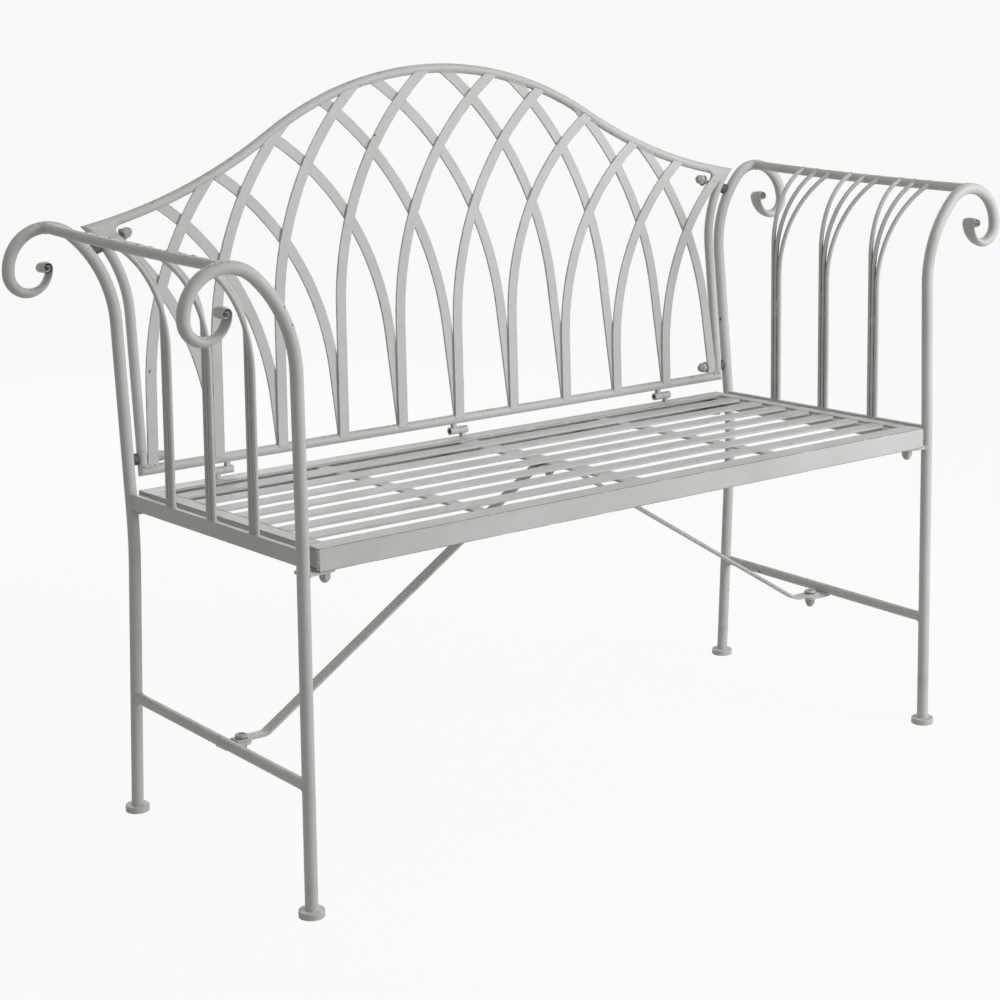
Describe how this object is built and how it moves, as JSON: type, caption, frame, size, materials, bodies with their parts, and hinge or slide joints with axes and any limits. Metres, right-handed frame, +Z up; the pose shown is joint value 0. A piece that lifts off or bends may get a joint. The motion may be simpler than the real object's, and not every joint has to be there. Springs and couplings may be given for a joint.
{
  "type": "garden bench",
  "caption": "Painted tubular metal garden bench with scrolled arms on rod fans, a slatted seat and an arched back of interlaced strips.",
  "frame": {"origin": "middle of the bench's bounding box, on the floor", "axes": "+X along the bench to the sitter's left, +Y from the front to the back, +Z up"},
  "size_m": [1.369, 0.4928, 0.9724],
  "materials": {
    "paint": "satin warm grey paint, distressed along edges",
    "fastener": "dull dark zinc",
    "spacer": "matt black"
  },
  "bodies": {
    "root": {"back_bottom_rail": "paint", "back_left_upright": "paint", "back_nuts": "fastener", "back_right_upright": "paint", "back_spacers": "spacer", "back_studs": "fastener", "back_top_rail": "paint", "brace_bolts": "fastener", "brace_nuts": "fastener", "hinge_back_knuckles": "paint", "hinge_pins": "fastener", "hinge_seat_knuckles": "paint", "lattice_front_strips": "paint", "lattice_rear_strips": "paint", "left_arm_rail": "paint", "left_brace": "paint", "left_brace_tab": "paint", "left_front_foot": "paint", "left_front_leg": "paint", "left_front_rods": "paint", "left_front_seat_tab": "paint", "left_middle_rods": "paint", "left_rear_foot": "paint", "left_rear_leg": "paint", "left_rear_rods": "paint", "left_rear_seat_tab": "paint", "left_side_rail": "paint", "left_stretcher": "paint", "right_arm_rail": "paint", "right_brace": "paint", "right_brace_tab": "paint", "right_front_foot": "paint", "right_front_leg": "paint", "right_front_rods": "paint", "right_front_seat_tab": "paint", "right_middle_rods": "paint", "right_rear_foot": "paint", "right_rear_leg": "paint", "right_rear_rods": "paint", "right_rear_seat_tab": "paint", "right_side_rail": "paint", "right_stretcher": "paint", "seat_bolts": "fastener", "seat_front_rail": "paint", "seat_left_rail": "paint", "seat_nuts": "fastener", "seat_rear_rail": "paint", "seat_right_rail": "paint", "seat_slat_1": "paint", "seat_slat_2": "paint", "seat_slat_3": "paint", "seat_slat_4": "paint", "seat_slat_5": "paint", "seat_slat_6": "paint", "seat_slat_7": "paint", "seat_strap_centre": "paint", "seat_strap_left": "paint", "seat_strap_left_end": "paint", "seat_strap_right": "paint", "seat_strap_right_end": "paint"}
  },
  "joints": []
}
